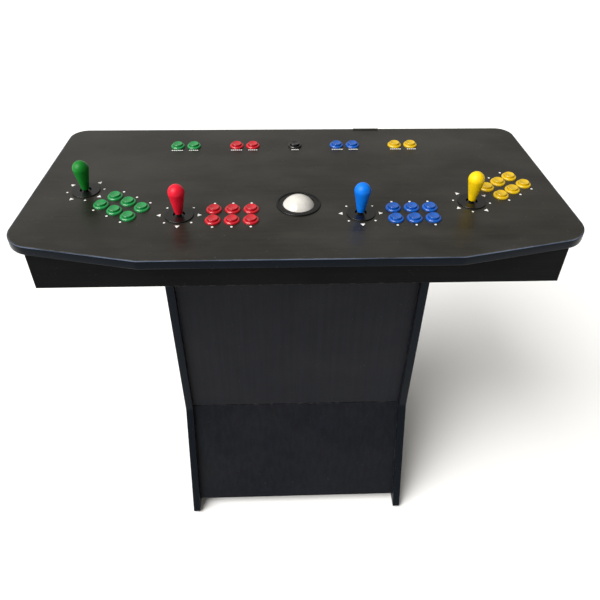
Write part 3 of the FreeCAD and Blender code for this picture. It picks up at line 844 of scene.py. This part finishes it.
bm = bmesh.new()
for colour in HANDLE_COLOURS:
    middle = centre_of(colour + "_stick_cradle")
    away = joint_axis(colour + "_stick_sideways")
    heading = math.atan2(away.y, away.x)
    for quarter in range(4):
        turn = heading + quarter * math.pi / 2
        add_disc(bm, middle.x + arrow_reach * math.cos(turn), middle.y + arrow_reach * math.sin(turn),
                 arrow_size, 3, turn)
        between = turn + math.pi / 4
        add_disc(bm, middle.x + dot_reach * math.cos(between), middle.y + dot_reach * math.sin(between),
                 stick_dot_size, 20, between)
    for number in range(1, 7):
        button = centre_of(f"{colour}_button_{number}")
        offset = away * upper_dot if number <= 3 else away * -lower_dot
        add_disc(bm, button.x + offset.x, button.y + offset.y, button_dot_size, 20, 0.0)

tick_size = 3.4 * MM
tick_pitch = 4.5 * MM
caption_drop = 19.6 * MM
captions = {"_coin_button": 6, "_start_button": 5, "_menu_button": 4}
for name in nodes:
    for ending, count in captions.items():
        if name.endswith(ending):
            button = centre_of(name)
            for index in range(count):
                x = button.x + (index - (count - 1) / 2) * tick_pitch
                add_tick(bm, x, button.y - caption_drop, tick_size)
place_piece("printed_marks", bm, white_ink, "cabinet")

# %% [markdown]
# ## Edge trim on the pedestal
# The front edges of the side panels carry the same vinyl as the panel. The strip follows the edge down,
# round the crease and out along the foot. It is drawn by extruding one short edge along that path, made
# solid, and its long corners are rounded.

# %% Side trim
side_low, side_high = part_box("pedestal_sides")
board_width = 19.0 * MM
trim_thickness = 2.0 * MM
upright_y = -114.0 * MM
crease_z = 326.0 * MM
foot_y = side_low.y
foot_z = side_low.z
bend_radius = 40.0 * MM
trim_round = 1.4 * MM


def trim_path():
    """The front edge of a side panel from top to toe, with the crease as an arc."""
    lean = math.atan2(upright_y - foot_y, crease_z - foot_z)
    reach = bend_radius * math.tan(lean / 2)
    centre = Vector((upright_y - bend_radius, crease_z + reach))
    points = [Vector((upright_y, side_high.z))]
    for step in range(9):
        angle = -lean * step / 8
        points.append(centre + Vector((math.cos(angle), math.sin(angle))) * bend_radius)
    points.append(Vector((foot_y, foot_z)))
    return points


for side, x0 in (("left", side_low.x), ("right", side_high.x - board_width)):
    bm = bmesh.new()
    path = trim_path()
    first = [bm.verts.new((x, path[0].x, path[0].y)) for x in (x0, x0 + board_width)]
    edge = bm.edges.new(first)
    for a, b in zip(path, path[1:]):
        grown = bmesh.ops.extrude_edge_only(bm, edges=[edge])["geom"]
        moved = [g for g in grown if isinstance(g, bmesh.types.BMVert)]
        edge = [g for g in grown if isinstance(g, bmesh.types.BMEdge)][0]
        bmesh.ops.translate(bm, verts=moved, vec=(0, b.x - a.x, b.y - a.y))
    bmesh.ops.recalc_face_normals(bm, faces=bm.faces)
    if bm.faces[:][0].normal.y > 0:
        bmesh.ops.reverse_faces(bm, faces=bm.faces)
    bmesh.ops.solidify(bm, geom=bm.faces[:], thickness=-trim_thickness)
    bmesh.ops.recalc_face_normals(bm, faces=bm.faces)
    front = [e for e in bm.edges if len(e.link_faces) == 2 and e.calc_face_angle(0.0) > 1.2
             and abs(e.verts[0].co.x - e.verts[1].co.x) < 1e-6
             and any(f.normal.y < -0.5 for f in e.link_faces)]
    bmesh.ops.bevel(bm, geom=front, offset=trim_round, segments=4, profile=0.5, affect="EDGES", material=-1)
    place_piece(side + "_side_trim", bm, edge_vinyl, "cabinet")

# %% [markdown]
# ## Small hardware
# A low rubber strip lies on the back edge, right of the middle, held by a small brass screw. One
# bright countersunk screw shows on the upper front panel, and two rows of them hold the back panel.

# %% Screws and the rear strip


def add_screw(bm, place, radius, toward):
    """Countersunk cross-head screw, nearly flush, whose head faces along toward."""
    turn = Vector((0, 0, 1)).rotation_difference(Vector(toward)).to_matrix().to_4x4()
    head = bmesh.new()
    section = rounded([(0.0, -1.2 * MM, 0), (0.0, 0.5 * MM, 0), (radius * 0.55, 0.42 * MM, 0),
                       (radius, 0.1 * MM, 0), (radius * 0.96, -0.2 * MM, 0), (radius * 0.4, -1.2 * MM, 0)])
    lathe(head, section, Vector((0, 0, 0)), 24)
    for angle in (0.0, math.pi / 2):
        slot = Matrix.Rotation(angle + 0.4, 4, "Z") @ Matrix.Translation((0, 0, 0.42 * MM))
        size = Matrix.Diagonal((radius * 1.1, radius * 0.2, 0.24 * MM, 1.0))
        bmesh.ops.create_cube(head, size=1.0, matrix=slot @ size)
    bmesh.ops.transform(head, matrix=Matrix.Translation(place) @ turn, verts=head.verts)
    scratch = bpy.data.meshes.new("screw_scratch")
    head.to_mesh(scratch)
    head.free()
    bm.from_mesh(scratch)
    bpy.data.meshes.remove(scratch)


front_low, front_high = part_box("upper_front_panel")
screw_in, screw_down = 12.0 * MM, 62.0 * MM
bm = bmesh.new()
add_screw(bm, Vector((front_high.x - screw_in, front_low.y, front_high.z - screw_down)), 3.6 * MM,
          (0, -1, 0))
place_piece("front_panel_screw", bm, zinc, "cabinet")

back_low, back_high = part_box("back_panel")
bm = bmesh.new()
inset = 15.0 * MM
end_gap = 40.0 * MM
rows = 5
for x in (back_low.x + inset, back_high.x - inset):
    for step in range(rows):
        z = back_low.z + end_gap + (back_high.z - back_low.z - 2 * end_gap) * step / (rows - 1)
        add_screw(bm, Vector((x, back_high.y, z)), 4.0 * MM, (0, 1, 0))
place_piece("back_panel_screws", bm, zinc, "cabinet")

strip_left, strip_right = 149.0 * MM, 212.0 * MM
strip_y = rear_y - 5.5 * MM
strip_width, strip_height = 5.0 * MM, 2.4 * MM
screw_sink = 0.1 * MM
bm = bmesh.new()
strip_size = Matrix.Diagonal((strip_right - strip_left, strip_width, strip_height, 1.0))
strip_place = Matrix.Translation(((strip_left + strip_right) / 2, strip_y, panel_top + strip_height / 2))
bmesh.ops.create_cube(bm, size=1.0, matrix=strip_place @ strip_size)
upper = [e for e in bm.edges if e.verts[0].co.z + e.verts[1].co.z > 2 * panel_top + strip_height]
bmesh.ops.bevel(bm, geom=upper, offset=1.0 * MM, segments=4, profile=0.5, affect="EDGES", material=-1)
place_piece("rear_strip", bm, foot_rubber, "cabinet")
bm = bmesh.new()
add_screw(bm, Vector((strip_right - 4.0 * MM, strip_y, panel_top + strip_height - screw_sink)), 2.0 * MM,
          (0, 0, 1))
place_piece("rear_strip_screw", bm, brass, "cabinet")

# %% [markdown]
# ## The end
# The script closes with an import of json. The visual model has to stay inside the CAD model's
# box.

# %% Import json
import json
